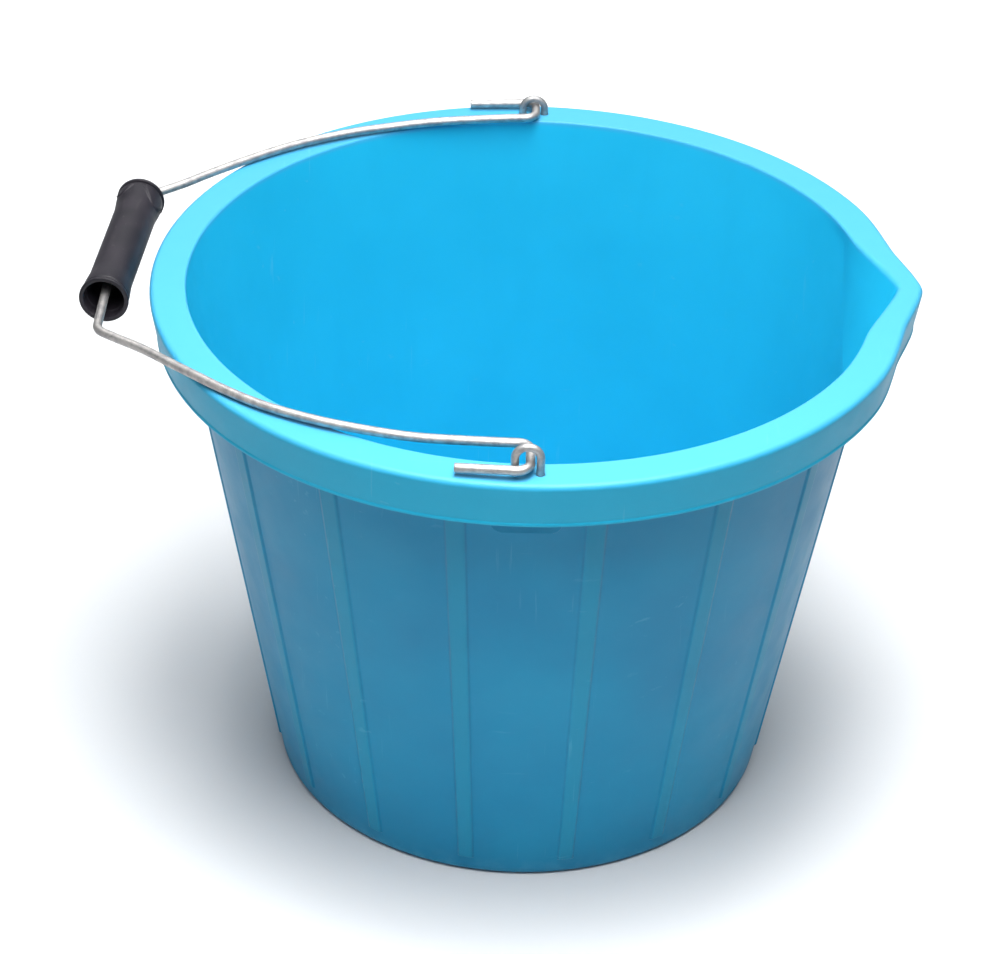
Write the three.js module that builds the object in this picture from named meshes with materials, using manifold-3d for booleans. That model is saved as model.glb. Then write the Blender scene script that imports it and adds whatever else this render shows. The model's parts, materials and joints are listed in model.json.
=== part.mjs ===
// Builder's bucket: a plastic bucket with a pouring lip, a wire bail held by two wire staples, and a grip.
// Millimetres. The bucket's axis is Z and its base stands on z = 0. The lip points to +X, the staples are on
// the Y axis, and the bail lies on the rim with its grip beyond the back, at -X.
import * as THREE from "three";
import { mergeVertices } from "three/addons/utils/BufferGeometryUtils.js";
import Module from "manifold-3d";

const wasm = await Module();
wasm.setup();

// Bucket wall and base
const HEIGHT = 250;
const WALL = 2.4;
const BASE_RADIUS = 115; // outside of the wall, carried down to z = 0
const MOUTH_RADIUS = 156.2; // outside of the wall, carried up to the top
const HEEL_RADIUS = 4; // of the rounded corner between underside and wall
const FLOOR_TOP = 4;
const FLOOR_FILLET = 10; // of the rounded corner between floor and wall, inside
const BASE_RECESS = 1.4; // of the underside, between its centre pad and its foot ring
const RECESS_EDGE = 2; // width of the recess's sloping edges
const CENTRE_PAD_RADIUS = 34;
const FOOT_INNER_RADIUS = 86;

// Rim: a flat top with a skirt hanging from its outer edge, a little wider beside the staples
const RIM_OUTER_RADIUS = 171.5;
const RIM_OVAL = 1.6;
const RIM_THICK = 3.2;
const RIM_EDGE = 1.3; // rounding of the rim's outer edge
const MOUTH_EDGE = 1.2; // rounding of its inner edge
const SKIRT_HEIGHT = 21.5;
const SKIRT_TAPER = 3.2;
const SKIRT_THICK = 2.4;

// Pouring lip: how far the mouth and the rim reach out to a point, over a half angle in degrees, and the
// shallow dips beside it, at an angle from the lip's middle.
const LIP_INNER = { reach: 11.4, half: 16, power: 1.7 };
const LIP_OUTER = { reach: 6, half: 12, power: 1.5 };
const MOUTH_DIP = { depth: 0.9, middle: 17, half: 13 };
const RIM_DIP = { depth: 1.5, middle: 14, half: 13 };
const TIP_ROUNDING = 0.9; // degrees
const CREASE_X = 144.4; // the spout's facets leave the wall where this upright plane cuts its inside
const CREASE_DROP = 6; // of the facets' lower edge below the rim, away from the lip

// Outside ribs
const RIB_COUNT = 16;
const RIB_PROUD = 0.9;
const RIB_HALF_ANGLE = 2;
const RIB_FLANK = 0.7; // angle that each sloping side takes
const RIB_FOOT = 9.4; // height of the ribs' lower ends
const RIB_FOOT_SLOPE = 0.8;

// Staples and the bosses under the rim that hold them
const STAPLE_WIRE = 3.4;
const STAPLE_SPAN = 10.5; // between the legs' centres
const STAPLE_Y = 161.8;
const STAPLE_RISE = { right: 14.4, left: 9.6 }; // tops of the arches above the rim
const STAPLE_DEPTH = 20; // of the legs in the boss
const HOLE_CLEARANCE = 0.3; // all round a leg
const HOLE_SPARE = 1; // depth of a hole below its leg
const BOSS_WIDTH = 32;
const BOSS_OUTER = 164;
const BOSS_BOTTOM = 221.3;
const BOSS_CORNER = 6;

// Bail
const BAIL_WIRE = 4;
const PIVOT_X = 1.1;
const PIVOT_RISE = { right: 4.4, left: 3.3 }; // the bail's axis above the rim, at each staple
const TAIL_Y = 166.8; // of a tail at its bend
const TAIL_LENGTH = { right: 30.8, left: 32.1 };
const TAIL_END_Y = { right: 164, left: 165.2 };
const TAIL_END_RISE = { right: 3.5, left: 2.6 };
const STRAND_Y = 147.4;
const ARM_SINK = { right: 1.2, left: 2.1 }; // how much lower an arm lies near its staple
const ARM_SINK_LENGTH = 110; // over which that fades out
const ARM_SHIFT = 1.5; // how far a sunken arm has slid towards +Y, for each millimetre of sink
const TAIL_BEND = 4.4;
const ARM_BEND = 5.5;
const GRIP_BEND = 8.5;
const GRIP_WIRE_X = -187.2; // of the straight stretch inside the grip
const GRIP_WIRE_HALF = 58;
const GRIP_WIRE_RISE = 1;

// Grip
const GRIP_LENGTH = 94;
const GRIP_END_RADIUS = 11;
const GRIP_BARREL_RADIUS = 9.6;
const GRIP_BORE_RADIUS = 8;
const GRIP_MOUTH_RADIUS = 9;
const GRIP_MOUTH_DEPTH = 5; // of the wider part of the bore at each end
const FLANGE_THICK = 1.6;
const GROOVE = { depth: 0.9, width: 1.2 }; // behind each flange
const FLARE_END = 19; // where the barrel stops narrowing, from its end
const GRIP_EASE = 0.4; // bevel of the grip's edges
const GRIP_END = new THREE.Vector3(-187.4, -31, 250.2); // middle of the end on the -Y side
const GRIP_SKEW = 3.8; // degrees, between the grip's axis and Y

const LEAN = THREE.MathUtils.radToDeg(Math.atan((MOUTH_RADIUS - BASE_RADIUS) / HEIGHT)); // of the wall

const rad = THREE.MathUtils.degToRad;
const vec = (x, y, z) => new THREE.Vector3(x, y, z);
const OVERLAP = 1; // how far a block or a cut runs past the face that it joins or opens

// ---- joining and cutting closed solids ----

function toSolid(geometry) {
  const plain = new THREE.BufferGeometry();
  const source = geometry.index ? geometry.toNonIndexed() : geometry;
  plain.setAttribute("position", source.getAttribute("position").clone());
  const merged = mergeVertices(plain, 1e-4);
  return new wasm.Manifold(
    new wasm.Mesh({
      numProp: 3,
      vertProperties: merged.attributes.position.array,
      triVerts: new Uint32Array(merged.index.array),
    }),
  );
}

function toGeometry(solid) {
  const mesh = solid.getMesh();
  const geometry = new THREE.BufferGeometry();
  geometry.setAttribute("position", new THREE.Float32BufferAttribute(mesh.vertProperties, 3));
  geometry.setIndex(new THREE.Uint32BufferAttribute(mesh.triVerts, 1));
  geometry.computeVertexNormals();
  return geometry;
}

// ---- wire swept along a bent path ----

// A path through given points, sampled at exactly those points.
class WirePath extends THREE.Curve {
  constructor(points) {
    super();
    this.points = points;
  }
  get steps() {
    return this.points.length - 1;
  }
  getPoint(t) {
    const at = Math.min(t * this.steps, this.steps);
    const i = Math.min(Math.floor(at), this.steps - 1);
    return this.points[i].clone().lerp(this.points[i + 1], at - i);
  }
  getTangent(t) {
    const i = Math.round(t * this.steps);
    const sum = vec(0, 0, 0);
    for (const k of [i - 1, i]) {
      if (k < 0 || k >= this.steps) continue;
      sum.add(this.points[k + 1].clone().sub(this.points[k]).normalize());
    }
    return sum.normalize();
  }
  getPointAt(u) {
    return this.getPoint(u);
  }
  getTangentAt(u) {
    return this.getTangent(u);
  }
}

// Points round the corner at b, between a and c, with the given bend radius.
function bend(a, b, c, radius, pieces) {
  const toA = a.clone().sub(b).normalize();
  const toC = c.clone().sub(b).normalize();
  const half = toA.angleTo(toC) / 2;
  const centre = b.clone().addScaledVector(toA.clone().add(toC).normalize(), radius / Math.sin(half));
  const from = b.clone().addScaledVector(toA, radius / Math.tan(half)).sub(centre);
  const normal = toC.clone().cross(toA).normalize();
  const turn = Math.PI - 2 * half;
  const points = [];
  for (let i = 0; i <= pieces; i++)
    points.push(from.clone().applyAxisAngle(normal, (turn * i) / pieces).add(centre));
  return points;
}

function sweepWire(points, diameter, sides) {
  // The section's corners stand outside the circle, so that its area is the real wire's.
  const radius = (diameter / 2) * Math.sqrt((2 * Math.PI) / sides / Math.sin((2 * Math.PI) / sides));
  const section = new THREE.Shape();
  for (let i = 0; i < sides; i++) {
    const a = (2 * Math.PI * i) / sides;
    if (i === 0) section.moveTo(radius, 0);
    else section.lineTo(radius * Math.cos(a), radius * Math.sin(a));
  }
  section.closePath();
  const path = new WirePath(points);
  return new THREE.ExtrudeGeometry(section, {
    extrudePath: path,
    steps: path.steps,
    bevelEnabled: false,
    curveSegments: 1,
  });
}

// ---- bucket ----

// A smooth dip round an angle, in degrees.
function dipAt(angle, { depth, middle, half }) {
  const u = Math.abs(angle - middle) / half;
  return u >= 1 ? 0 : depth * Math.cos((Math.PI / 2) * u) ** 2;
}

// A pointed rise at the lip's middle.
function pointAt(angle, { reach, half, power }) {
  const blunt = Math.hypot(angle, TIP_ROUNDING) - TIP_ROUNDING / 4;
  return blunt >= half ? 0 : reach * (1 - blunt / half) ** power;
}

const fromLip = (degrees) => Math.abs(((degrees + 540) % 360) - 180);

function mouthRadius(degrees) {
  const a = fromLip(degrees);
  return MOUTH_RADIUS - WALL + pointAt(a, LIP_INNER) - dipAt(a, MOUTH_DIP);
}

function rimRadius(degrees) {
  const a = fromLip(degrees);
  return RIM_OUTER_RADIUS - RIM_OVAL * Math.cos(rad(a)) ** 2 + pointAt(a, LIP_OUTER) - dipAt(a, RIM_DIP);
}

const wallRadius = (z) => BASE_RADIUS + ((MOUTH_RADIUS - BASE_RADIUS) * z) / HEIGHT;

// Height of the crease where the spout's facets leave the wall.
function creaseHeight(degrees) {
  const highest = HEIGHT - CREASE_DROP;
  const inside = CREASE_X / Math.cos(rad(fromLip(degrees)));
  if (inside < 0) return highest;
  return Math.min(highest, ((inside + WALL - BASE_RADIUS) * HEIGHT) / (MOUTH_RADIUS - BASE_RADIUS));
}

// Outside of the wall, pushed out above the crease to follow the spout.
function outerWall(degrees, z) {
  const crease = creaseHeight(degrees);
  const push = mouthRadius(degrees) + WALL - MOUTH_RADIUS;
  return wallRadius(z) + (z <= crease ? 0 : (push * (z - crease)) / (HEIGHT - crease));
}

// Degrees round the bucket at which its outline is drawn, with closer ones at ribs and lip.
function columns() {
  const pitch = 360 / RIB_COUNT;
  const all = [];
  for (let k = 0; k < RIB_COUNT; k++) {
    const middle = (k + 0.5) * pitch;
    for (const off of [RIB_HALF_ANGLE, RIB_HALF_ANGLE - RIB_FLANK]) all.push(middle - off, middle + off);
    for (const off of [0.25, 0.5, 0.75])
      all.push(middle + RIB_HALF_ANGLE + (pitch - 2 * RIB_HALF_ANGLE) * off);
  }
  for (const off of [1, 2.2, 3.6, 7]) all.push(off, 360 - off);
  return all.map((a) => ((a % 360) + 360) % 360).sort((a, b) => a - b);
}

function ribHeight(degrees) {
  const pitch = 360 / RIB_COUNT;
  const off = Math.abs((degrees % pitch) - pitch / 2);
  return RIB_PROUD * THREE.MathUtils.clamp((RIB_HALF_ANGLE - off) / RIB_FLANK, 0, 1);
}

// Points on a rounded corner of a section, between two directions in degrees.
function corner(r, z, radius, from, to, pieces) {
  const points = [];
  for (let i = 0; i <= pieces; i++) {
    const a = rad(from + ((to - from) * i) / pieces);
    points.push([r + radius * Math.cos(a), z + radius * Math.sin(a)]);
  }
  return points;
}

// The section from the middle of the underside, up the outside, over the rim and down to the floor's middle.
function section(degrees) {
  const rib = ribHeight(degrees);
  const crease = creaseHeight(degrees);
  const rim = rimRadius(degrees);
  const mouth = mouthRadius(degrees);
  const under = HEIGHT - RIM_THICK;
  const skirt = HEIGHT - SKIRT_HEIGHT;
  const ribStart = RIB_FOOT + RIB_FOOT_SLOPE;
  const heelMiddle = wallRadius(HEEL_RADIUS) - HEEL_RADIUS / Math.cos(rad(LEAN));
  const filletTop = FLOOR_TOP + FLOOR_FILLET;
  const filletMiddle = wallRadius(filletTop) - WALL - FLOOR_FILLET / Math.cos(rad(LEAN));
  return [
    [0, 0],
    [CENTRE_PAD_RADIUS, 0],
    [CENTRE_PAD_RADIUS + RECESS_EDGE, BASE_RECESS],
    [FOOT_INNER_RADIUS - RECESS_EDGE, BASE_RECESS],
    [FOOT_INNER_RADIUS, 0],
    ...corner(heelMiddle, HEEL_RADIUS, HEEL_RADIUS, -90, -LEAN, 3),
    [wallRadius(RIB_FOOT), RIB_FOOT],
    [wallRadius(ribStart) + rib, ribStart],
    [wallRadius(crease) + rib, crease],
    [outerWall(degrees, under) + rib, under],
    [rim - RIM_EDGE - SKIRT_THICK, under],
    [rim - SKIRT_TAPER - SKIRT_THICK, skirt],
    [rim - SKIRT_TAPER, skirt],
    ...corner(rim - RIM_EDGE, HEIGHT - RIM_EDGE, RIM_EDGE, 0, 90, 2),
    ...corner(mouth + MOUTH_EDGE, HEIGHT - MOUTH_EDGE, MOUTH_EDGE, 90, 180, 1),
    [wallRadius(crease) - WALL, crease],
    ...corner(filletMiddle, filletTop, FLOOR_FILLET, -LEAN, -90, 4),
    [0, FLOOR_TOP],
  ];
}

function bucketShell() {
  const angles = columns();
  const count = angles.length;
  const sections = angles.map(section);
  const rows = sections[0].length;
  const positions = [0, 0, 0, 0, 0, FLOOR_TOP];
  angles.forEach((degrees, i) => {
    for (const [r, z] of sections[i].slice(1, -1))
      positions.push(r * Math.cos(rad(degrees)), r * Math.sin(rad(degrees)), z);
  });
  const at = (i, j) => {
    if (j === 0) return 0;
    if (j === rows - 1) return 1;
    return 2 + (i % count) * (rows - 2) + j - 1;
  };
  const index = [];
  for (let i = 0; i < count; i++)
    for (let j = 0; j < rows - 1; j++) {
      if (j > 0) index.push(at(i, j), at(i + 1, j), at(i + 1, j + 1));
      if (j < rows - 2) index.push(at(i, j), at(i + 1, j + 1), at(i, j + 1));
    }
  const geometry = new THREE.BufferGeometry();
  geometry.setAttribute("position", new THREE.Float32BufferAttribute(positions, 3));
  geometry.setIndex(index);
  return geometry;
}

// The block between wall and skirt that holds one staple, with rounded lower corners.
function boss(side) {
  const half = BOSS_WIDTH / 2;
  const inner = wallRadius(BOSS_BOTTOM) - OVERLAP;
  const face = new THREE.Shape();
  face.moveTo(-half, HEIGHT - OVERLAP);
  face.lineTo(-half, BOSS_BOTTOM + BOSS_CORNER);
  face.absarc(-half + BOSS_CORNER, BOSS_BOTTOM + BOSS_CORNER, BOSS_CORNER, Math.PI, 1.5 * Math.PI, false);
  face.absarc(half - BOSS_CORNER, BOSS_BOTTOM + BOSS_CORNER, BOSS_CORNER, 1.5 * Math.PI, 2 * Math.PI, false);
  face.lineTo(half, HEIGHT - OVERLAP);
  face.closePath();
  const block = new THREE.ExtrudeGeometry(face, {
    depth: BOSS_OUTER - inner,
    bevelEnabled: false,
    curveSegments: 5,
  });
  block.rotateX(Math.PI / 2); // the face's height becomes Z, and its depth runs to -Y
  block.translate(0, -inner, 0);
  if (side > 0) block.rotateZ(Math.PI);
  return block;
}

function stapleHole(x, y) {
  const radius = STAPLE_WIRE / 2 + HOLE_CLEARANCE;
  const bottom = HEIGHT - STAPLE_DEPTH - HOLE_SPARE;
  const top = HEIGHT + OVERLAP;
  const hole = new THREE.CylinderGeometry(radius, radius, top - bottom, 20);
  hole.rotateX(Math.PI / 2);
  hole.translate(x, y, (top + bottom) / 2);
  return hole;
}

function bucketGeometry() {
  // Each boss is trimmed by a cone that runs through the middle of the wall.
  const bottom = BOSS_BOTTOM - OVERLAP;
  const top = HEIGHT + OVERLAP;
  const middle = (z) => wallRadius(z) - WALL / 2;
  const cavity = new THREE.CylinderGeometry(middle(top), middle(bottom), top - bottom, 64);
  cavity.rotateX(Math.PI / 2);
  cavity.translate(0, 0, (top + bottom) / 2);
  let solid = toSolid(bucketShell());
  for (const side of [-1, 1]) {
    solid = solid.add(toSolid(boss(side)).subtract(toSolid(cavity)));
    for (const leg of [-1, 1])
      solid = solid.subtract(toSolid(stapleHole((leg * STAPLE_SPAN) / 2, side * STAPLE_Y)));
  }
  return toGeometry(solid);
}

// ---- staples ----

function stapleGeometry(side, rise) {
  const half = STAPLE_SPAN / 2;
  const y = side * STAPLE_Y;
  const top = HEIGHT + rise - STAPLE_WIRE / 2 - half;
  const foot = HEIGHT - STAPLE_DEPTH;
  const points = [vec(-half, y, foot), vec(-half, y, HEIGHT)];
  for (let i = 0; i <= 12; i++) {
    const a = Math.PI * (1 - i / 12);
    points.push(vec(half * Math.cos(a), y, top + half * Math.sin(a)));
  }
  points.push(vec(half, y, HEIGHT), vec(half, y, foot));
  return sweepWire(points, STAPLE_WIRE, 14);
}

// ---- bail ----

// Height of the bail's axis at a given y. It tilts a little, because the left staple is driven in further.
function pivotZ(y) {
  const middle = (PIVOT_RISE.right + PIVOT_RISE.left) / 2;
  return HEIGHT + middle - ((PIVOT_RISE.right - PIVOT_RISE.left) * y) / (2 * STAPLE_Y);
}

// One arm's shape: x, distance from the middle plane, and height above the rim.
const ARM = [
  [-12, 146.6, 5.2],
  [-27, 145.2, 4.7],
  [-47, 142.6, 4.1],
  [-67.5, 137.2, 3.6],
  [-88.6, 129.8, 3.2],
  [-110.5, 118.8, 2.7],
  [-127.5, 106.9, 2.45],
  [-141.5, 95.2, 2.3],
  [-153.5, 84.8, 2],
  [-161, 77.9, 1.7],
  [-169.4, 71.1, 1.5],
  [-176.5, 66.1, 1.3],
];

// Half of the bail's centre line, from its cut end to the middle of the grip.
function bailHalf(name) {
  const side = name === "left" ? 1 : -1;
  const axisPoint = (y) => vec(PIVOT_X, y, pivotZ(y));
  const lowered = (x) => ARM_SINK[name] * Math.max(0, 1 + x / ARM_SINK_LENGTH);
  const tail = vec(PIVOT_X - TAIL_LENGTH[name], side * TAIL_END_Y[name], HEIGHT + TAIL_END_RISE[name]);
  const outside = axisPoint(side * TAIL_Y);
  const inside = axisPoint(side * STRAND_Y + ARM_SHIFT * ARM_SINK[name]);
  const points = ARM.map(([x, y, rise]) =>
    vec(x, side * y + ARM_SHIFT * lowered(x), HEIGHT + rise - lowered(x)),
  );
  const arm = new THREE.CatmullRomCurve3(points, false, "centripetal");
  const gripCorner = vec(GRIP_WIRE_X, side * GRIP_WIRE_HALF, HEIGHT + GRIP_WIRE_RISE);
  const middle = vec(GRIP_WIRE_X, 0, HEIGHT + GRIP_WIRE_RISE);
  return [
    tail,
    ...bend(tail, outside, inside, TAIL_BEND, 7),
    ...bend(outside, inside, points[0], ARM_BEND, 8),
    ...arm.getSpacedPoints(36),
    ...bend(points[points.length - 1], gripCorner, middle, GRIP_BEND, 7),
  ];
}

function bailGeometry() {
  return sweepWire([...bailHalf("left"), ...bailHalf("right").reverse()], BAIL_WIRE, 12);
}

// ---- grip ----

function gripGeometry() {
  const end = GRIP_END_RADIUS;
  const barrel = GRIP_BARREL_RADIUS;
  const grooveEnd = FLANGE_THICK + GROOVE.width;
  const flareStart = grooveEnd + GRIP_EASE;
  const outside = [
    [end, GRIP_EASE],
    [end, FLANGE_THICK],
    [end - GROOVE.depth, FLANGE_THICK + GRIP_EASE],
    [end - GROOVE.depth, grooveEnd],
  ];
  for (let i = 0; i <= 5; i++) {
    const s = flareStart + ((FLARE_END - flareStart) * i) / 5;
    const share = 1 - THREE.MathUtils.smoothstep(s, flareStart, FLARE_END);
    outside.push([barrel + (end - GRIP_EASE - barrel) * share, s]);
  }
  const inside = [
    [GRIP_BORE_RADIUS, FLARE_END],
    [GRIP_MOUTH_RADIUS - GRIP_EASE, GRIP_MOUTH_DEPTH + GRIP_EASE],
    [GRIP_MOUTH_RADIUS, GRIP_MOUTH_DEPTH],
    [GRIP_MOUTH_RADIUS, GRIP_EASE],
    [GRIP_MOUTH_RADIUS + GRIP_EASE, 0],
    [end - GRIP_EASE, 0],
  ];
  const mirrored = (points) => points.map(([r, s]) => [r, GRIP_LENGTH - s]).reverse();
  const loop = [...outside, ...mirrored(outside), ...mirrored(inside), ...inside];
  loop.push(loop[0]);
  const profile = loop.map(([r, s]) => new THREE.Vector2(r, s));
  const grip = new THREE.LatheGeometry(profile, 36);
  grip.rotateZ(rad(-GRIP_SKEW));
  grip.translate(GRIP_END.x, GRIP_END.y, GRIP_END.z);
  return grip;
}

// ---- assembly ----

const bucketPlastic = new THREE.MeshStandardMaterial({ color: 0x2f9fd0, roughness: 0.45 });
const rightStapleWire = new THREE.MeshStandardMaterial({ color: 0x9a9ea2, metalness: 0.9, roughness: 0.4 });
const leftStapleWire = new THREE.MeshStandardMaterial({ color: 0x9a9ea2, metalness: 0.9, roughness: 0.4 });
const bailWire = new THREE.MeshStandardMaterial({ color: 0xb4b7ba, metalness: 0.9, roughness: 0.35 });
const gripPlastic = new THREE.MeshStandardMaterial({ color: 0x232126, roughness: 0.5 });

const part = new THREE.Group();
part.name = "builders_bucket";

function addPiece(name, geometry, material) {
  const mesh = new THREE.Mesh(geometry, material);
  mesh.name = name;
  part.add(mesh);
}

addPiece("bucket", bucketGeometry(), bucketPlastic);
addPiece("staple_right", stapleGeometry(-1, STAPLE_RISE.right), rightStapleWire);
addPiece("staple_left", stapleGeometry(1, STAPLE_RISE.left), leftStapleWire);
addPiece("bail_wire", bailGeometry(), bailWire);
addPiece("grip", gripGeometry(), gripPlastic);

export default part;
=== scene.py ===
import json
import math

import bpy
import numpy as np
from mathutils import Matrix, Vector


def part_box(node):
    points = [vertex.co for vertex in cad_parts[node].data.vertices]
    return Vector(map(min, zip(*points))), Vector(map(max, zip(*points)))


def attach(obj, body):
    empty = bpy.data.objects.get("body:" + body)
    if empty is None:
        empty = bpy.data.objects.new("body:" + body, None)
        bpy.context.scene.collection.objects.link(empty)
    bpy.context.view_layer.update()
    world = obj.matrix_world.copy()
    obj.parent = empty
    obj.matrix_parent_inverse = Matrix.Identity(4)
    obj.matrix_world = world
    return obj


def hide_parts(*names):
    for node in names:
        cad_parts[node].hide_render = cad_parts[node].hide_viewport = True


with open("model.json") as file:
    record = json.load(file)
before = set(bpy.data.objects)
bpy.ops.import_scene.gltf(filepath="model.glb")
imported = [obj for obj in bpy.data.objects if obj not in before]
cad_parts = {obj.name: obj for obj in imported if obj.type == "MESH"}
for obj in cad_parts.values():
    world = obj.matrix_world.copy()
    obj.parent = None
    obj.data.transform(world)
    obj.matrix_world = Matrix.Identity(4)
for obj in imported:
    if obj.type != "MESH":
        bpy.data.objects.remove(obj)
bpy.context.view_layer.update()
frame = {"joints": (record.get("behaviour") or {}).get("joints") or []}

MM = 0.001

# ---- sizes, in millimetres ----

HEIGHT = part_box("bucket")[1].z / MM
WALL = 2.4
BASE_RADIUS = 115
MOUTH_RADIUS = 156.2
HEEL_RADIUS = 4
FLOOR_TOP = 4
FLOOR_FILLET = 10
BASE_RECESS = 1.4
RECESS_EDGE = 2
CENTRE_PAD_RADIUS = 34
FOOT_INNER_RADIUS = 86
GATE_RADIUS = 3  # of the injection mark in the middle of the underside
GATE_DEPTH = 0.6

RIM_OUTER_RADIUS = 171.5
RIM_OVAL = 1.6
RIM_THICK = 3.2
RIM_EDGE = 1.3
RIM_SOFT_EDGE = 2.4
MOUTH_EDGE = 1.2
LIP_EDGE = 1.8  # how much rounder that edge is in the middle of the lip
SKIRT_HEIGHT = 21.5
SKIRT_TAPER = 3.2
SKIRT_THICK = 2.4
BEAD_HEIGHT = 1.6  # of the thin bead along the skirt's lower edge
BEAD_PROUD = 0.32

# The lip's points: how far each reaches, its half angle in degrees, and the power that shapes it.
LIP_INNER = (11.4, 16, 1.7)
LIP_OUTER = (6, 12, 1.5)
# The dips beside them: how deep, at what angle from the lip, and over what half angle, in degrees.
MOUTH_DIP = (0.9, 17, 13)
RIM_DIP = (1.5, 14, 13)
TIP_ROUNDING = 0.9
CREASE_X = 144.4  # the spout's facets leave the wall where this upright plane cuts its inside
CREASE_DROP = 6
CREASE_SOFTNESS = 1.5

RIB_COUNT = 16
RIB_PROUD = 0.9
RIB_HALF_ANGLE = 2
RIB_FLANK = 0.7
RIB_FOOT = 9.4
RIB_FOOT_SLOPE = 0.8

STAPLE_WIRE = 3.4
STAPLE_SPAN = 10.5
HOLE_CLEARANCE = 0.3
BOSS_WIDTH = 32
BOSS_OUTER = 164
BOSS_BOTTOM = 221.3
BOSS_CORNER = 6
BOSS_SLOPE = 1.1

BAIL_WIRE = 4
TAIL_Y = 166.8
TAIL_LENGTH = {"right": 30.8, "left": 32.1}
TAIL_END_Y = {"right": 164, "left": 165.2}
TAIL_END_RISE = {"right": 3.5, "left": 2.6}
STRAND_Y = 147.4
ARM_SINK = {"right": 1.2, "left": 2.1}
ARM_SINK_LENGTH = 110
ARM_SHIFT = 1.5
TAIL_BEND = 5.4
ARM_BEND = 5.5
GRIP_BEND = 8.5
GRIP_WIRE_X = -187.2
GRIP_WIRE_HALF = 58
GRIP_WIRE_RISE = 1
WIRE_CUT = 0.35  # how far in from a wire's end its edge is rounded
# That rounding: share of WIRE_CUT from the end, and share of the wire's radius there.
WIRE_CUT_SHAPE = [(0, 0.82), (0.4, 0.96), (1, 1)]
# One arm's shape: x, distance from the middle plane, and height above the rim.
ARM = [
    (-12, 146.6, 5.2),
    (-27, 145.2, 4.7),
    (-47, 142.6, 4.1),
    (-67.5, 137.2, 3.6),
    (-88.6, 129.8, 3.2),
    (-110.5, 118.8, 2.7),
    (-127.5, 106.9, 2.45),
    (-141.5, 95.2, 2.3),
    (-153.5, 84.8, 2),
    (-161, 77.9, 1.7),
    (-169.4, 71.1, 1.5),
    (-176.5, 66.1, 1.3),
]

GRIP_LENGTH = 94
GRIP_END_RADIUS = 11
GRIP_BARREL_RADIUS = 9.6
GRIP_BORE_RADIUS = 8
GRIP_MOUTH_RADIUS = 9
GROOVE_END = 3.4  # of the groove behind each flange, from the grip's end
FLARE_END = 19
# Two curved ridges hang from the flange at the +Y end: where each starts and ends, in degrees round the
# grip from the side next to the bucket, and how far it reaches.
RIDGES = [(100, 166, 6), (-20, 78, 11)]
RIDGE_PROUD = 0.55
RIDGE_HALF = 0.32

JOINTS = {joint["name"]: joint for joint in frame["joints"]}


# ---- small helpers ----


def ramp(value, low, high):
    """0 below low, 1 above high, and a smooth step between."""
    t = min(1.0, max(0.0, (value - low) / (high - low)))
    return t * t * (3 - 2 * t)


def arc(r, z, radius, start, end, pieces):
    """Points of an outline's rounded corner, between two directions in degrees."""
    turns = np.radians(np.linspace(start, end, pieces + 1))
    return [(r + radius * math.cos(a), z + radius * math.sin(a)) for a in turns]


def mesh_object(name, points, faces):
    """A smooth-shaded object from points in millimetres."""
    mesh = bpy.data.meshes.new(name)
    mesh.from_pydata((np.asarray(points, float) * MM).tolist(), [], faces)
    mesh.shade_smooth()
    mesh.update()
    made = bpy.data.objects.new(name, mesh)
    bpy.context.scene.collection.objects.link(made)
    return made


def sharpen(piece, degrees):
    """Edges that turn by more than this many degrees are shaded as sharp ones."""
    piece.data.set_sharp_from_angle(angle=math.radians(degrees))


# ---- bucket ----

PITCH = 360 / RIB_COUNT
LEAN = math.degrees(math.atan((MOUTH_RADIUS - BASE_RADIUS) / HEIGHT))


def from_lip(degrees):
    return abs((degrees + 540) % 360 - 180)


def hump(angle, height, middle, half):
    u = abs(angle - middle) / half
    return 0 if u >= 1 else height * math.cos(math.pi / 2 * u) ** 2


def pointed(angle, reach, half, power):
    """A pointed rise at the lip's middle."""
    blunt = math.hypot(angle, TIP_ROUNDING) - TIP_ROUNDING / 4
    return 0 if blunt >= half else reach * (1 - blunt / half) ** power


def mouth_radius(degrees):
    a = from_lip(degrees)
    return MOUTH_RADIUS - WALL + pointed(a, *LIP_INNER) - hump(a, *MOUTH_DIP)


def rim_radius(degrees):
    a = from_lip(degrees)
    oval = RIM_OVAL * math.cos(math.radians(a)) ** 2
    return RIM_OUTER_RADIUS - oval + pointed(a, *LIP_OUTER) - hump(a, *RIM_DIP)


def wall_radius(z):
    return BASE_RADIUS + (MOUTH_RADIUS - BASE_RADIUS) * z / HEIGHT


def crease_height(degrees):
    """Height at which the spout's facets leave the wall."""
    highest = HEIGHT - CREASE_DROP
    inside = CREASE_X / math.cos(math.radians(from_lip(degrees)))
    if inside < 0:
        return highest
    return min(highest, (inside + WALL - BASE_RADIUS) * HEIGHT / (MOUTH_RADIUS - BASE_RADIUS))


def lip_push(degrees, z):
    """How far the spout pushes the wall out at this height."""
    crease = crease_height(degrees)
    above = z - crease
    softened = (above + math.hypot(above, CREASE_SOFTNESS)) / 2
    return (mouth_radius(degrees) + WALL - MOUTH_RADIUS) * softened / (HEIGHT - crease)


def rib_height(degrees):
    off = abs(degrees % PITCH - PITCH / 2)
    return RIB_PROUD * ramp(RIB_HALF_ANGLE - off, 0, RIB_FLANK)


def boss_share(degrees, z):
    """1 on a staple's boss, 0 away from it, with rounded lower corners and a short slope round it."""
    side = BOSS_OUTER * abs(math.cos(math.radians(degrees)))
    if abs(math.sin(math.radians(degrees))) < 0.9:
        return 0
    across = side - (BOSS_WIDTH / 2 - BOSS_CORNER)
    down = BOSS_BOTTOM + BOSS_CORNER - z
    outside = math.hypot(max(across, 0), max(down, 0)) + min(max(across, down), 0) - BOSS_CORNER
    return ramp(-outside, 0, BOSS_SLOPE)


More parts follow.
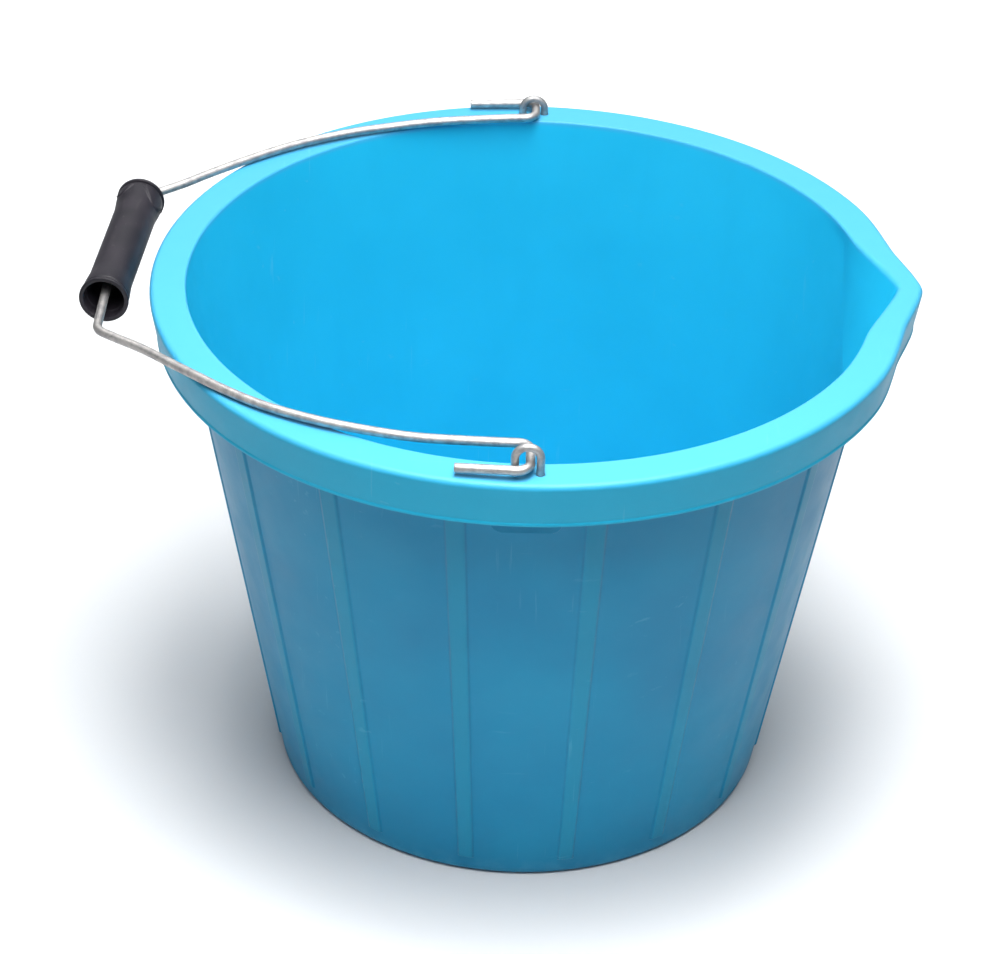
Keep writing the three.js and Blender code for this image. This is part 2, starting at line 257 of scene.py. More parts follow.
def outer_radius(degrees, z):
    """Outside of the wall, with its ribs, bosses and spout."""
    rib = rib_height(degrees) * ramp(z, RIB_FOOT, RIB_FOOT + RIB_FOOT_SLOPE)
    plain = wall_radius(z) + rib + lip_push(degrees, z)
    share = boss_share(degrees, z)
    if share == 0:
        return plain
    return plain + share * (BOSS_OUTER / abs(math.sin(math.radians(degrees))) - plain)


def inner_radius(degrees, z):
    return wall_radius(z) - WALL + lip_push(degrees, z)


def outer_levels():
    """Heights of the outside wall's rows, closer at the ribs' feet and the bosses' lower edges."""
    foot = np.linspace(RIB_FOOT - 0.4, RIB_FOOT + RIB_FOOT_SLOPE + 0.4, 9)
    bosses = np.arange(BOSS_BOTTOM - 0.6, BOSS_BOTTOM + BOSS_CORNER + 0.5, 0.35)
    spout = np.arange(185, 219, 4)
    return [5, 7, *foot, 13, 24, 60, 110, 160, *spout, 219, *bosses, 230, 235, 240, 244, 246]


def section(degrees):
    """The outline from the middle of the underside, up the outside, over the rim and down to the floor."""
    crease = crease_height(degrees)
    rim = rim_radius(degrees)
    under = HEIGHT - RIM_THICK
    skirt = HEIGHT - SKIRT_HEIGHT
    skirt_face = lambda z: rim - SKIRT_TAPER * (HEIGHT - RIM_EDGE - z) / (SKIRT_HEIGHT - RIM_EDGE)
    heel_middle = wall_radius(HEEL_RADIUS) - HEEL_RADIUS / math.cos(math.radians(LEAN))
    fillet_top = FLOOR_TOP + FLOOR_FILLET
    fillet_middle = wall_radius(fillet_top) - WALL - FLOOR_FILLET / math.cos(math.radians(LEAN))
    pad, foot = CENTRE_PAD_RADIUS, FOOT_INNER_RADIUS
    soft_middle = skirt_face(HEIGHT - RIM_SOFT_EDGE) - RIM_SOFT_EDGE
    bead_top = skirt + BEAD_HEIGHT
    bead_face = skirt_face(bead_top) + BEAD_PROUD
    underside = [
        (GATE_RADIUS - 0.8, GATE_DEPTH),
        (GATE_RADIUS - 0.3, GATE_DEPTH - 0.15),
        (GATE_RADIUS, 0.05),
        (GATE_RADIUS + 0.3, 0),
        (pad - 0.4, 0),
        (pad + 0.1, 0.1),
        (pad + RECESS_EDGE - 0.3, BASE_RECESS - 0.1),
        (pad + RECESS_EDGE + 0.3, BASE_RECESS),
        (foot - RECESS_EDGE - 0.3, BASE_RECESS),
        (foot - RECESS_EDGE + 0.3, BASE_RECESS - 0.1),
        (foot - 0.1, 0.1),
        (foot + 0.4, 0),
    ]
    outside = [
        *arc(heel_middle, HEEL_RADIUS, HEEL_RADIUS, -90, -LEAN, 8),
        *[(outer_radius(degrees, z), z) for z in outer_levels()],
        (outer_radius(degrees, under) + 0.3, under - 0.3),
        (outer_radius(degrees, under) + 0.9, under),
    ]
    inner_skirt = skirt_face(HEIGHT - RIM_EDGE) - RIM_EDGE - SKIRT_THICK
    lower_inner = rim - SKIRT_TAPER - SKIRT_THICK
    hanging = [
        (inner_skirt - 1, under),
        (inner_skirt - 0.2, under - 0.3),
        (inner_skirt, under - 1.2),
        (lower_inner, skirt + 0.5),
        (lower_inner + 0.2, skirt + 0.1),
        (lower_inner + 0.6, skirt),
        (bead_face - 0.6, skirt),
        (bead_face - 0.15, skirt + 0.15),
        (bead_face, skirt + 0.6),
        (bead_face, bead_top - 0.5),
        (bead_face - 0.1, bead_top - 0.15),
        (skirt_face(bead_top + 0.15), bead_top + 0.15),
        (skirt_face(bead_top + 0.7), bead_top + 0.7),
        (skirt_face(HEIGHT - 8), HEIGHT - 8),
        (skirt_face(HEIGHT - RIM_SOFT_EDGE - 0.8), HEIGHT - RIM_SOFT_EDGE - 0.8),
        *arc(soft_middle, HEIGHT - RIM_SOFT_EDGE, RIM_SOFT_EDGE, 0, 90, 7),
    ]
    rounding = MOUTH_EDGE + hump(from_lip(degrees), LIP_EDGE, 0, 24)
    slope = math.atan((inner_radius(degrees, HEIGHT) - inner_radius(degrees, HEIGHT - 10)) / 10)
    meeting = HEIGHT - rounding * (1 - math.sin(slope))
    inner_edge = inner_radius(degrees, meeting) + rounding * math.cos(slope)
    top = [
        (soft_middle - 0.8, HEIGHT),
        (soft_middle + (inner_edge - soft_middle) * 0.4, HEIGHT),
        (soft_middle + (inner_edge - soft_middle) * 0.7, HEIGHT),
        (inner_edge + 0.5, HEIGHT),
        *arc(inner_edge, HEIGHT - rounding, rounding, 90, 180 - math.degrees(slope), 7),
    ]
    high = HEIGHT - rounding
    upper = [high - 0.6, *(crease + (high - crease) * np.array([0.85, 0.7, 0.55, 0.4]))]
    around = crease + np.array([1.6, 1, 0.5, 0, -0.5, -1, -2, -4])
    lower = fillet_top + (crease - 4 - fillet_top) * np.array([0.85, 0.6, 0.35, 0.15, 0.03])
    inside = [(inner_radius(degrees, z), z) for z in [*upper, *around, *lower]]
    floor = [(fillet_middle * share, FLOOR_TOP) for share in (0.97, 0.7, 0.4, 0.1)]
    fillet = arc(fillet_middle, fillet_top, FLOOR_FILLET, -LEAN, -90, 9)
    return [*underside, *outside, *hanging, *top, *inside, *fillet, *floor]


def column_angles():
    """Degrees round the bucket at which its outline is drawn, closer at ribs, lip and bosses."""
    across_rib = np.array([0, 0.6, 1.1, 1.3, 1.45, 1.6, 1.75, 1.9, 2.05, 2.3])
    between = np.linspace(3, PITCH - 3, 15)
    angles = []
    for k in range(RIB_COUNT):
        middle = (k + 0.5) * PITCH
        angles += [*(middle - across_rib), *(middle + across_rib), *(middle + between)]
    angles += [*np.arange(-10, 10.01, 0.5), -0.25, 0.25]
    edge = math.degrees(math.asin(BOSS_WIDTH / 2 / BOSS_OUTER))
    for staple in (90, 270):
        for offset in (*np.arange(0, edge - 2.2, 0.6), *np.arange(edge - 2.1, edge + 0.3, 0.14)):
            angles += [staple - offset, staple + offset]
    kept = []
    for angle in sorted(a % 360 for a in angles):
        if not kept or angle - kept[-1] > 0.06:
            kept.append(angle)
    return kept


def bucket_shell():
    angles = column_angles()
    outlines = np.array([section(a) for a in angles])
    count, rows = outlines.shape[:2]
    turn = np.radians(angles)[:, None]
    grid = np.stack(
        [outlines[..., 0] * np.cos(turn), outlines[..., 0] * np.sin(turn), outlines[..., 1]], axis=-1
    )
    points = [(0, 0, GATE_DEPTH), (0, 0, FLOOR_TOP), *grid.reshape(-1, 3)]
    faces = []
    for i in range(count):
        here, beyond = 2 + i * rows, 2 + (i + 1) % count * rows
        faces.append((0, beyond, here))
        faces += [(here + j, beyond + j, beyond + j + 1, here + j + 1) for j in range(rows - 1)]
        faces.append((1, here + rows - 1, beyond + rows - 1))
    return mesh_object("bucket_shell", points, faces)


def drill(piece, x, y, radius, bottom):
    """Cuts one staple hole down from the rim."""
    sides = 40
    top = HEIGHT + 3
    turn = [2 * math.pi * i / sides for i in range(sides)]
    rings = [[(x + radius * math.cos(a), y + radius * math.sin(a), z) for a in turn] for z in (bottom, top)]
    faces = [tuple(reversed(range(sides))), tuple(range(sides, 2 * sides))]
    faces += [(i, (i + 1) % sides, sides + (i + 1) % sides, sides + i) for i in range(sides)]
    cutter = mesh_object("staple_hole_cutter", rings[0] + rings[1], faces)
    cut = piece.modifiers.new("hole", "BOOLEAN")
    cut.operation = "DIFFERENCE"
    cut.solver = "EXACT"
    cut.object = cutter
    bpy.context.view_layer.objects.active = piece
    bpy.ops.object.modifier_apply(modifier=cut.name)
    bpy.data.objects.remove(cutter)


def bucket():
    shell = bucket_shell()
    for name in ("staple_right", "staple_left"):
        low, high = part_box(name)
        y = (low.y + high.y) / 2 / MM
        for leg in (-STAPLE_SPAN / 2, STAPLE_SPAN / 2):
            drill(shell, leg, y, STAPLE_WIRE / 2 + HOLE_CLEARANCE, low.z / MM - 1)
    sharpen(shell, 40)
    return shell


# ---- wires ----


def bend(a, b, c, radius, pieces=14):
    """Points round the corner at b, between a and c, with the given bend radius."""
    to_a = (a - b).normalized()
    to_c = (c - b).normalized()
    half = to_a.angle(to_c) / 2
    centre = b + (to_a + to_c).normalized() * (radius / math.sin(half))
    start = b + to_a * (radius / math.tan(half)) - centre
    normal = to_c.cross(to_a).normalized()
    turn = math.pi - 2 * half
    return [centre + Matrix.Rotation(turn * i / pieces, 3, normal) @ start for i in range(pieces + 1)]


def smooth_curve(points, pieces=8):
    """Points of a smooth curve through the given ones (a centripetal Catmull-Rom spline)."""
    ends = [points[0] * 2 - points[1], *points, points[-1] * 2 - points[-2]]
    curve = []
    for before, start, end, after in zip(ends, ends[1:], ends[2:], ends[3:]):
        gaps = [math.sqrt((q - p).length) for p, q in ((before, start), (start, end), (end, after))]
        leave = (start - before) / gaps[0] - (end - before) / (gaps[0] + gaps[1]) + (end - start) / gaps[1]
        arrive = (end - start) / gaps[1] - (after - start) / (gaps[1] + gaps[2]) + (after - end) / gaps[2]
        for i in range(pieces):
            t = i / pieces
            curve.append(
                start * (2 * t**3 - 3 * t**2 + 1)
                + leave * gaps[1] * (t**3 - 2 * t**2 + t)
                + end * (3 * t**2 - 2 * t**3)
                + arrive * gaps[1] * (t**3 - t**2)
            )
    return [*curve, points[-1]]


def densify(points, longest=6):
    """The same path with no step longer than this."""
    path = [points[0]]
    for point in points[1:]:
        steps = math.ceil((point - path[-1]).length / longest)
        start = path[-1]
        path += [start.lerp(point, (i + 1) / steps) for i in range(steps)]
    return path


def sweep(name, points, diameter, sides=28):
    """A round wire along a path, its cut ends slightly rounded and its UV running along it in mm."""
    path = densify([p for i, p in enumerate(points) if i == 0 or (p - points[i - 1]).length > 0.02])
    steps = [(b - a).normalized() for a, b in zip(path, path[1:])]
    along = [steps[0], *[(a + b).normalized() for a, b in zip(steps, steps[1:])], steps[-1]]
    stations = [(path[0] + along[0] * WIRE_CUT * u, along[0], share) for u, share in WIRE_CUT_SHAPE]
    stations += [(p, t, 1) for p, t in zip(path[1:-1], along[1:-1])]
    for u, share in reversed(WIRE_CUT_SHAPE):
        stations.append((path[-1] - along[-1] * WIRE_CUT * u, along[-1], share))
    side = along[0].orthogonal().normalized()
    points, lengths = [], [0]
    for i, (at, direction, share) in enumerate(stations):
        side = (side - direction * side.dot(direction)).normalized()
        other = direction.cross(side)
        for k in range(sides):
            a = 2 * math.pi * k / sides
            points.append(at + (side * math.cos(a) + other * math.sin(a)) * (diameter / 2 * share))
        if i:
            lengths.append(lengths[-1] + (at - stations[i - 1][0]).length)
    faces, uvs = [], []
    for i in range(len(stations) - 1):
        for k in range(sides):
            here, beyond = i * sides, (i + 1) * sides
            following = (k + 1) % sides
            faces.append((here + k, here + following, beyond + following, beyond + k))
            low, high = k / sides, (k + 1) / sides
            uvs += [(lengths[i], low), (lengths[i], high), (lengths[i + 1], high), (lengths[i + 1], low)]
    first, last = len(points), len(points) + 1
    points += [path[0], path[-1]]
    end = (len(stations) - 1) * sides
    for k in range(sides):
        following = (k + 1) % sides
        faces += [(first, following, k), (last, end + k, end + following)]
        uvs += [(0, 0)] * 3 + [(lengths[-1], 0)] * 3
    wire = mesh_object(name, points, faces)
    wire.data.uv_layers.new(name="along").data.foreach_set("uv", np.array(uvs, float).ravel())
    sharpen(wire, 50)
    return wire


def staple(side):
    """A wire staple with its legs in the rim, from its CAD node's box."""
    low, high = (Vector(corner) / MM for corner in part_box("staple_" + side))
    y = (low.y + high.y) / 2
    half = STAPLE_SPAN / 2
    middle = high.z - STAPLE_WIRE / 2 - half
    points = [Vector((-half, y, low.z)), Vector((-half, y, middle - 1))]
    for i in range(25):
        a = math.pi * (1 - i / 24)
        points.append(Vector((half * math.cos(a), y, middle + half * math.sin(a))))
    points += [Vector((half, y, middle - 1)), Vector((half, y, low.z))]
    return sweep(f"staple_{side}_wire", points, STAPLE_WIRE)


def bail_half(name):
    """Half of the bail's centre line, from its cut end to the middle of the grip."""
    hinge = JOINTS["bail_swing"]
    pivot = Vector(hinge["pos_m"]) / MM
    axis = Vector(hinge["axis"])
    side = 1 if name == "left" else -1
    on_axis = lambda y: pivot + axis * (y / axis.y)
    lowered = lambda x: ARM_SINK[name] * max(0, 1 + x / ARM_SINK_LENGTH)
    tail = Vector((pivot.x - TAIL_LENGTH[name], side * TAIL_END_Y[name], HEIGHT + TAIL_END_RISE[name]))
    outside = on_axis(side * TAIL_Y)
    inside = on_axis(side * STRAND_Y + ARM_SHIFT * ARM_SINK[name])
    arm = [
        Vector((x, side * y + ARM_SHIFT * lowered(x), HEIGHT + rise - lowered(x))) for x, y, rise in ARM
    ]
    corner = Vector((GRIP_WIRE_X, side * GRIP_WIRE_HALF, HEIGHT + GRIP_WIRE_RISE))
    middle = Vector((GRIP_WIRE_X, 0, HEIGHT + GRIP_WIRE_RISE))
    return [
        tail,
        *bend(tail, outside, inside, TAIL_BEND),
        *bend(outside, inside, arm[0], ARM_BEND),
        *smooth_curve(arm),
        *bend(arm[-1], corner, middle, GRIP_BEND),
    ]


def bail():
    return sweep("bail_bent_wire", [*bail_half("left"), *reversed(bail_half("right"))], BAIL_WIRE)


# ---- grip ----


def ridge_relief(degrees, s):
    """Height of the curved ridges, less the groove beside each, at this distance from the +Y end."""
    relief = 0
    for first, last, reach in RIDGES:
        t = (degrees - first) / (last - first)
        if not 0.02 < t < 0.98:
            continue
        arch = math.sin(math.pi * t)
        per_degree = 0.8 * reach * arch**-0.2 * math.cos(math.pi * t) * math.pi / (last - first)
        steepness = per_degree / (GRIP_BARREL_RADIUS * math.radians(1))
        off = (s - GROOVE_END - reach * arch**0.8) / math.hypot(1, steepness)
        relief += RIDGE_PROUD * math.exp(-((off / RIDGE_HALF) ** 2))
        relief -= 0.8 * RIDGE_PROUD * math.exp(-(((off + 2 * RIDGE_HALF) / RIDGE_HALF) ** 2))
    return relief


def grip():
    """The grip, turned about its own axis: a thin flange and a groove at each end, and a flared barrel."""
    end, barrel = GRIP_END_RADIUS, GRIP_BARREL_RADIUS
    flange = [
        (end - 0.35, 0),
        (end - 0.1, 0.12),
        (end, 0.4),
        (end, 1.4),
        (end - 0.08, 1.6),
        (end - 0.3, 1.68),
        (end - 1.15, 1.75),
        (end - 1.3, 1.85),
        (end - 1.3, 2.65),
        (end - 1.15, 2.78),
        (end - 0.6, 2.9),
        (end - 0.42, GROOVE_END),
    ]
    widening = end - 0.42 - barrel
    flare = [
        (barrel + widening * (1 - ramp(s, GROOVE_END, FLARE_END)), s)
        for s in np.arange(GROOVE_END + 0.35, FLARE_END + 1.5, 0.35)
    ]
    bore = [
        (GRIP_BORE_RADIUS, 18),
        (GRIP_BORE_RADIUS + 0.05, 12),
        (GRIP_MOUTH_RADIUS - 0.5, 6.2),
        (GRIP_MOUTH_RADIUS - 0.4, 5.9),
        (GRIP_MOUTH_RADIUS - 0.05, 5.6),
        (GRIP_MOUTH_RADIUS, 5.2),
        (GRIP_MOUTH_RADIUS, 0.6),
        (GRIP_MOUTH_RADIUS + 0.1, 0.2),
        (GRIP_MOUTH_RADIUS + 0.4, 0),
    ]
    outside = [*flange, *flare, (barrel, 26), (barrel, 34)]
    other_end = lambda outline: [(r, GRIP_LENGTH - s) for r, s in reversed(outline)]
    outline = [*outside, (barrel, GRIP_LENGTH / 2), *other_end(outside), *other_end(bore), *bore]
    joint = JOINTS["grip_spin"]
    start = Vector(joint["pos_m"]) / MM
    axis = Vector(joint["axis"]).normalized()
    side = axis.cross(Vector((0, 0, 1))).normalized()
    up = side.cross(axis)
    sides = 240
    points, faces = [], []
    for k in range(sides):
        degrees = 360 * k / sides - 90
        outward = side * math.cos(math.radians(degrees)) + up * math.sin(math.radians(degrees))
        for r, s in outline:
            from_far_end = GRIP_LENGTH - s
            ridged = r >= barrel and GROOVE_END < from_far_end < FLARE_END + 1.5
            relief = ridge_relief(degrees, from_far_end) if ridged else 0
            points.append(start + axis * s + outward * (r + relief))
    rows = len(outline)
    for k in range(sides):
        here, beyond = k * rows, (k + 1) % sides * rows
        for j in range(rows):
            following = (j + 1) % rows
            faces.append((here + j, beyond + j, beyond + following, here + following))
    return mesh_object("grip_handle", points, faces)


# ---- materials ----


def add(tree, kind, inputs=None, **settings):
    """A shader node, with its settings and with its inputs set to values or linked to outputs."""
    made = tree.nodes.new(kind)
    for key, value in settings.items():
        setattr(made, key, value)
    for key, value in (inputs or {}).items():
        if isinstance(value, bpy.types.NodeSocket):
            tree.links.new(value, made.inputs[key])
        else:
            made.inputs[key].default_value = value
    return made


def noise(tree, where, scale, detail=3, stretch=(1, 1, 1)):
    """Noise from 0 to 1, in a space stretched by the given factors."""
    mapped = add(tree, "ShaderNodeMapping", {"Vector": where, "Scale": stretch})
    made = add(
        tree, "ShaderNodeTexNoise", {"Vector": mapped.outputs["Vector"], "Scale": scale, "Detail": detail}
    )
    return made.outputs["Fac"]


def span(tree, value, low, high, to_low=0.0, to_high=1.0):
    """value carried from low..high to another range, and held at its ends."""
    limits = {"Value": value, "From Min": low, "From Max": high, "To Min": to_low, "To Max": to_high}
    return add(tree, "ShaderNodeMapRange", limits).outputs["Result"]


def mix(tree, share, first, second):
    made = add(tree, "ShaderNodeMix", data_type="RGBA")
    for socket, value in zip((made.inputs[0], made.inputs[6], made.inputs[7]), (share, first, second)):
        if isinstance(value, bpy.types.NodeSocket):
            tree.links.new(value, socket)
        else:
            socket.default_value = value
    return made.outputs[2]


def maths(tree, operation, *values):
    return add(tree, "ShaderNodeMath", dict(enumerate(values)), operation=operation).outputs[0]


def bumps(tree, layers):
    """A normal from several heights, each with its depth in millimetres."""
    normal = None
    for height, depth in layers:
        inputs = {"Height": height, "Strength": 1.0, "Distance": depth * MM}
        if normal is not None:
            inputs["Normal"] = normal
        normal = add(tree, "ShaderNodeBump", inputs).outputs["Normal"]
    return normal


def new_material(name):
    """A material with its node tree, its main shader and a place in the object's own space."""
    made = bpy.data.materials.new(name)
    made.use_nodes = True
    tree = made.node_tree
    shader = tree.nodes["Principled BSDF"]
    place = tree.nodes.new("ShaderNodeTexCoord").outputs["Object"]
    return made, tree, shader, place


def wall_offset(tree, place):
    """How far a place lies outside the wall's outer cone, in metres, and its height."""
    split = add(tree, "ShaderNodeSeparateXYZ", {"Vector": place})
    x, y, z = (split.outputs[name] for name in "XYZ")
    squared = maths(tree, "ADD", maths(tree, "MULTIPLY", x, x), maths(tree, "MULTIPLY", y, y))
    cone = maths(tree, "MULTIPLY_ADD", z, (MOUTH_RADIUS - BASE_RADIUS) / HEIGHT, BASE_RADIUS * MM)
    return maths(tree, "SUBTRACT", maths(tree, "SQRT", squared), cone), z


def facing_out(tree, place):
    """Positive where a surface faces away from the bucket's axis, negative where it faces it."""
    normal = add(tree, "ShaderNodeTexCoord").outputs["Normal"]
    flat = add(tree, "ShaderNodeVectorMath", {0: normal, 1: (1, 1, 0)}, operation="MULTIPLY")
    inputs = {0: flat.outputs["Vector"], 1: place}
    return add(tree, "ShaderNodeVectorMath", inputs, operation="DOT_PRODUCT").outputs["Value"]


def band(tree, value, low, high, soft):
    """1 between two sizes in millimetres, with soft edges outside them."""
    rise = span(tree, value, (low - soft) * MM, low * MM)
    return maths(tree, "MULTIPLY", rise, span(tree, value, (high + soft) * MM, high * MM))


def bucket_plastic():
    """Light blue polypropylene: faint mottling, flow marks, scuffs and a worn foot, with painted shade on
    the outside and underside, a painted highlight and painted shade on the ribs, and a painted sheen on the
    rim's top.
    """
    made, tree, shader, place = new_material("bucket_plastic")
    blue, deeper, chalk = (0.013, 0.40, 0.62, 1), (0.011, 0.37, 0.58, 1), (0.15, 0.46, 0.62, 1)
    # Painted light on the next line: the first colour is painted shade for the outer wall and underside,
    # the second a painted highlight on the ribs' faces, the third painted shade on their flanks.
    outer_painted_shade, rib_painted_highlight, rib_painted_shade = (0.005, 0.20, 0.375, 1), (0.009, 0.25, 0.39, 1), (0.004, 0.115, 0.24, 1)
    # Painted sheen: the first colour on the next line is a paler, greyer blue for the rim's top.
    rim, skirt = (0.055, 0.32, 0.54, 1), (0.010, 0.345, 0.54, 1)
    shader.inputs["Specular IOR Level"].default_value = 0.2
    mottle = noise(tree, place, 14, 4)
    flow = noise(tree, place, 70, 2, (1, 1, 0.03))
    grain = noise(tree, place, 1100, 2)
    colour = mix(tree, span(tree, mottle, 0.35, 0.65), blue, deeper)
    colour = mix(tree, span(tree, flow, 0.55, 0.75, 0, 0.5), colour, deeper)
    offset, height = wall_offset(tree, place)
    within_skirt = span(tree, offset, 12 * MM, 11.6 * MM)
    below_skirt = span(tree, height, 228.4 * MM, 228.2 * MM)
    underneath = span(tree, height, 3.4 * MM, 2.4 * MM)
    painted_sheen_on_rim = span(tree, height, 247.2 * MM, 249.8 * MM)
    # Painted shade: every surface facing away from the bucket's axis takes a slightly darker blue than the
    # inside.
    outward = span(tree, facing_out(tree, place), 0.02, 0.04)
    colour = mix(tree, outward, colour, skirt)
    # Painted shade: outward faces on the outer wall or below the skirt, and the whole underside, take a
    # much darker blue for the shade that falls there.
    outside = maths(tree, "MULTIPLY", maths(tree, "MAXIMUM", within_skirt, below_skirt), outward)
    outside = maths(tree, "MAXIMUM", outside, underneath)
    colour = mix(tree, outside, colour, mix(tree, span(tree, mottle, 0.3, 0.7, 0, 0.25), outer_painted_shade, deeper))
    # Painted sheen: everything near the rim's top takes the paler, greyer blue, standing in for the sheen
    # on the lit top.
    colour = mix(tree, painted_sheen_on_rim, colour, rim)
    # Painted light: each rib's face gets a lighter blue as a painted highlight, and its flanks a darker
    # blue as painted shade.
    faces = maths(tree, "MULTIPLY", band(tree, offset, 0.7, 1, 0.2), 0.5)
    sides = maths(tree, "MULTIPLY", band(tree, offset, 0.25, 0.5, 0.25), 0.3)
    colour = mix(tree, maths(tree, "MULTIPLY", outside, faces), colour, rib_painted_highlight)
    colour = mix(tree, maths(tree, "MULTIPLY", outside, sides), colour, rib_painted_shade)
    scratch_a = span(tree, noise(tree, place, 30, 4, (14, 1, 0.7)), 0.66, 0.72)
    scratch_b = span(tree, noise(tree, place, 26, 4, (1, 12, 9)), 0.67, 0.73)
    patch = span(tree, noise(tree, place, 17, 3), 0.5, 0.62)
    scuffs = maths(tree, "MULTIPLY", maths(tree, "MAXIMUM", scratch_a, scratch_b), patch)
    foot = span(tree, height, 0.012, 0.001)
    worn = maths(tree, "MULTIPLY", foot, span(tree, noise(tree, place, 160, 5), 0.45, 0.65))
    faint_scuffs, faint_wear = maths(tree, "MULTIPLY", scuffs, 0.2), maths(tree, "MULTIPLY", worn, 0.18)
    marks = maths(tree, "MAXIMUM", faint_scuffs, faint_wear)
    tree.links.new(mix(tree, marks, colour, chalk), shader.inputs["Base Color"])
    satin = span(tree, noise(tree, place, 60, 5), 0.3, 0.7, 0.38, 0.48)
    rough = maths(tree, "ADD", satin, maths(tree, "MULTIPLY", marks, 0.4))
    tree.links.new(rough, shader.inputs["Roughness"])
    waves = noise(tree, place, 22, 2)
    layers = [(waves, 0.5), (flow, 0.02), (grain, 0.012), (scuffs, 0.02)]
    tree.links.new(bumps(tree, layers), shader.inputs["Normal"])
    return made


def galvanised(name, light, dark):
    """Zinc-coated wire: cloudy spangle, fine drawing lines along the wire, and dull patches."""
    made, tree, shader, place = new_material(name)
    along = add(tree, "ShaderNodeUVMap", uv_map="along").outputs["UV"]
    cloud = noise(tree, place, 260, 4)
    fleck = noise(tree, place, 1500, 2)
    lines = noise(tree, along, 1, 3, (0.08, 26, 1))
    colour = mix(tree, span(tree, cloud, 0.38, 0.62), light, dark)
    dull = tuple(0.55 * channel for channel in dark[:3]) + (1,)
    stains = span(tree, noise(tree, along, 1, 5, (0.35, 5, 1)), 0.63, 0.72, 0, 0.55)
    tree.links.new(mix(tree, stains, colour, dull), shader.inputs["Base Color"])
    shader.inputs["Metallic"].default_value = 1.0
    rough = maths(tree, "ADD", span(tree, cloud, 0.3, 0.7, 0.48, 0.6), span(tree, lines, 0.4, 0.7, 0, 0.1))
    tree.links.new(rough, shader.inputs["Roughness"])
    layers = [(lines, 0.03), (cloud, 0.015), (fleck, 0.008)]
    tree.links.new(bumps(tree, layers), shader.inputs["Normal"])
    return made


def grip_plastic():
    """Black satin plastic with fine grain, lengthwise scuffs and greyed nicks."""
    made, tree, shader, place = new_material("grip_plastic")
    black, grey, worn = (0.010, 0.009, 0.013, 1), (0.018, 0.015, 0.021, 1), (0.11, 0.10, 0.10, 1)
    shader.inputs["Specular IOR Level"].default_value = 0.34
    cloud = noise(tree, place, 95, 5)
    grain = noise(tree, place, 2400, 2)
    lengthwise = noise(tree, place, 420, 4, (1, 0.12, 1))
    nicks = span(tree, noise(tree, place, 700, 5, (1, 0.5, 1)), 0.66, 0.72)
    colour = mix(tree, span(tree, cloud, 0.35, 0.68), black, grey)
    scuffs = maths(tree, "MULTIPLY", span(tree, lengthwise, 0.56, 0.7), span(tree, cloud, 0.45, 0.6))
    faint_scuffs, faint_nicks = maths(tree, "MULTIPLY", scuffs, 0.16), maths(tree, "MULTIPLY", nicks, 0.2)
    marks = maths(tree, "MAXIMUM", faint_scuffs, faint_nicks)
    tree.links.new(mix(tree, marks, colour, worn), shader.inputs["Base Color"])
    tree.links.new(span(tree, cloud, 0.3, 0.7, 0.48, 0.6), shader.inputs["Roughness"])
    layers = [(grain, 0.02), (lengthwise, 0.03), (nicks, 0.02)]
    tree.links.new(bumps(tree, layers), shader.inputs["Normal"])
    return made


def floor_paper():
    """Pale matt studio paper."""
    made, tree, shader, place = new_material("floor_paper")
    tone = span(tree, noise(tree, place, 3, 3), 0.3, 0.7)
    darker, paler = (0.66, 0.67, 0.68, 1), (0.68, 0.69, 0.70, 1)
    tree.links.new(mix(tree, tone, darker, paler), shader.inputs["Base Color"])
    shader.inputs["Roughness"].default_value = 0.9
    return made


# ---- scene ----


def dress(piece, node, body, material):
    """One finished piece in place of its CAD node."""
    piece.data.materials.append(material)
    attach(piece, body)
    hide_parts(node)


def camera():
    """A long lens, from the front and about 33 degrees above. Its place is in metres."""
    yaw, pitch, roll = (math.radians(a) for a in (-0.182, 33.065, 1.384))
    forward = Vector((math.sin(yaw) * math.cos(pitch), math.cos(yaw) * math.cos(pitch), -math.sin(pitch)))
    level = Vector((math.cos(yaw), -math.sin(yaw), 0))
    upright = level.cross(forward)
    right = level * math.cos(roll) + upright * math.sin(roll)
    up = upright * math.cos(roll) - level * math.sin(roll)
    data = bpy.data.cameras.new("camera")
    data.sensor_width, data.lens = 36, 115.83
    at = (-0.00766, -1.25394, 0.95911)
    made = bpy.data.objects.new("camera", data)
    bpy.context.scene.collection.objects.link(made)
    axes = Matrix((right, up, -forward)).transposed()
    made.matrix_world = Matrix.Translation(at) @ axes.to_4x4()
    bpy.context.scene.camera = made


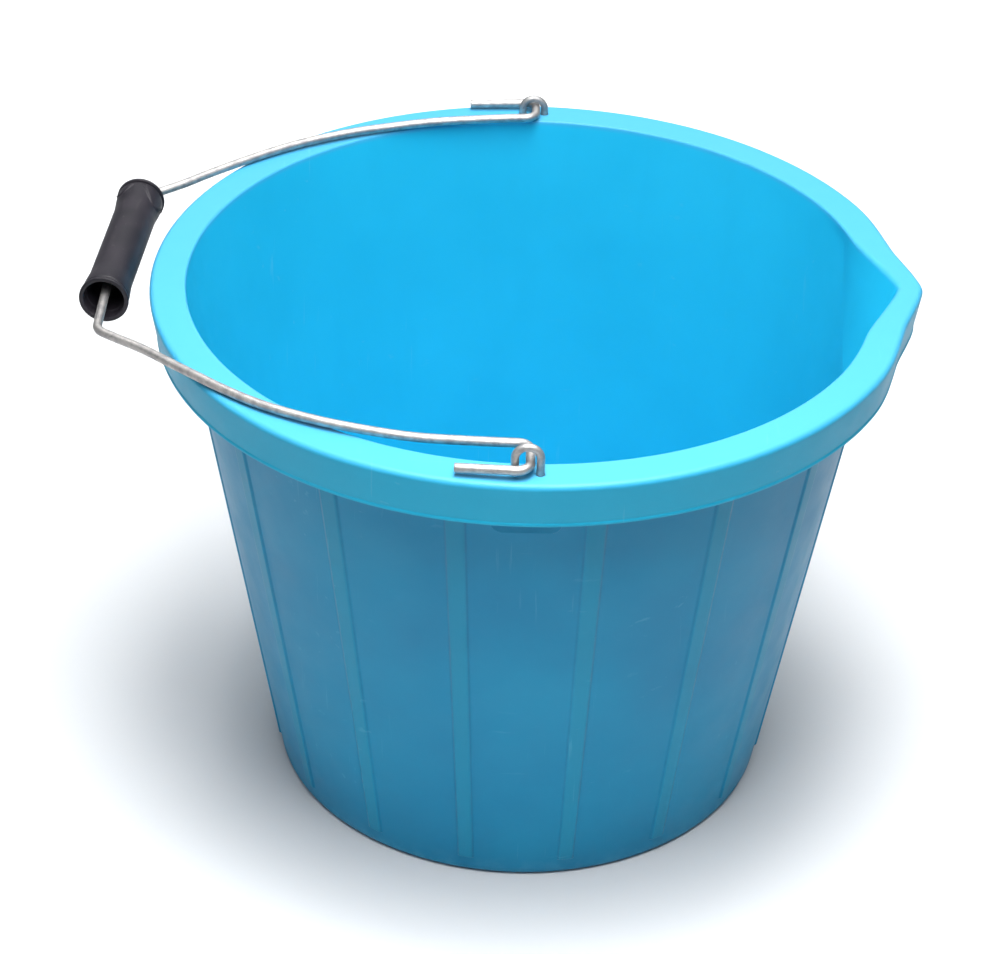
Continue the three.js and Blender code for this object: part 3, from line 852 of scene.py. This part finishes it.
def softbox(name, at, towards, size, power, spread):
    """A square light; its size is in metres, its power in watts and its spread in degrees."""
    data = bpy.data.lights.new(name, "AREA")
    data.shape = "SQUARE"
    data.size = size
    data.energy = power
    data.spread = math.radians(spread)
    made = bpy.data.objects.new(name, data)
    made.location = at
    made.rotation_euler = (Vector(towards) - Vector(at)).to_track_quat("-Z", "Y").to_euler()
    bpy.context.scene.collection.objects.link(made)


def studio():
    """A plain pale floor, softboxes above, behind and to the left, and a pale surround."""
    size = 6
    corners = [(-size, -size, 0), (size, -size, 0), (size, size, 0), (-size, size, 0)]
    floor = mesh_object("floor", np.array(corners) / MM, [(0, 1, 2, 3)])
    floor.data.materials.append(floor_paper())
    middle = (0, 0, 0.12)
    softbox("front_key", (0.04, -0.35, 0.95), middle, size=0.6, power=10, spread=180)
    softbox("overhead", (0.03, 0.05, 1.55), middle, size=0.6, power=10, spread=180)
    softbox("downlight", (0, -0.3, 1.4), (0, -0.3, 0), size=0.6, power=1.4, spread=45)
    softbox("far_floor", (0, 1.15, 1.9), (0, 1.15, 0), size=1.4, power=16, spread=65)
    softbox("back_panel", (-0.2, 2.6, 1.4), middle, size=2.4, power=10, spread=180)
    softbox("left_strip", (-1.9, -1.1, 0.5), middle, size=0.5, power=4, spread=180)
    world = bpy.data.worlds.new("surround")
    world.use_nodes = True
    background = world.node_tree.nodes["Background"]
    background.inputs["Color"].default_value = (0.8, 0.9, 1, 1)
    background.inputs["Strength"].default_value = 0.16
    bpy.context.scene.world = world
    bpy.context.scene.view_settings.view_transform = "Standard"


camera()
studio()
dress(bucket(), "bucket", "bucket", bucket_plastic())
zinc = galvanised("staple_zinc", (0.52, 0.51, 0.50, 1), (0.34, 0.34, 0.34, 1))
for staple_side in ("right", "left"):
    dress(staple(staple_side), "staple_" + staple_side, "bucket", zinc)
bail_zinc = galvanised("bail_zinc", (0.53, 0.51, 0.49, 1), (0.37, 0.36, 0.36, 1))
dress(bail(), "bail_wire", "bail", bail_zinc)
dress(grip(), "grip", "grip", grip_plastic())
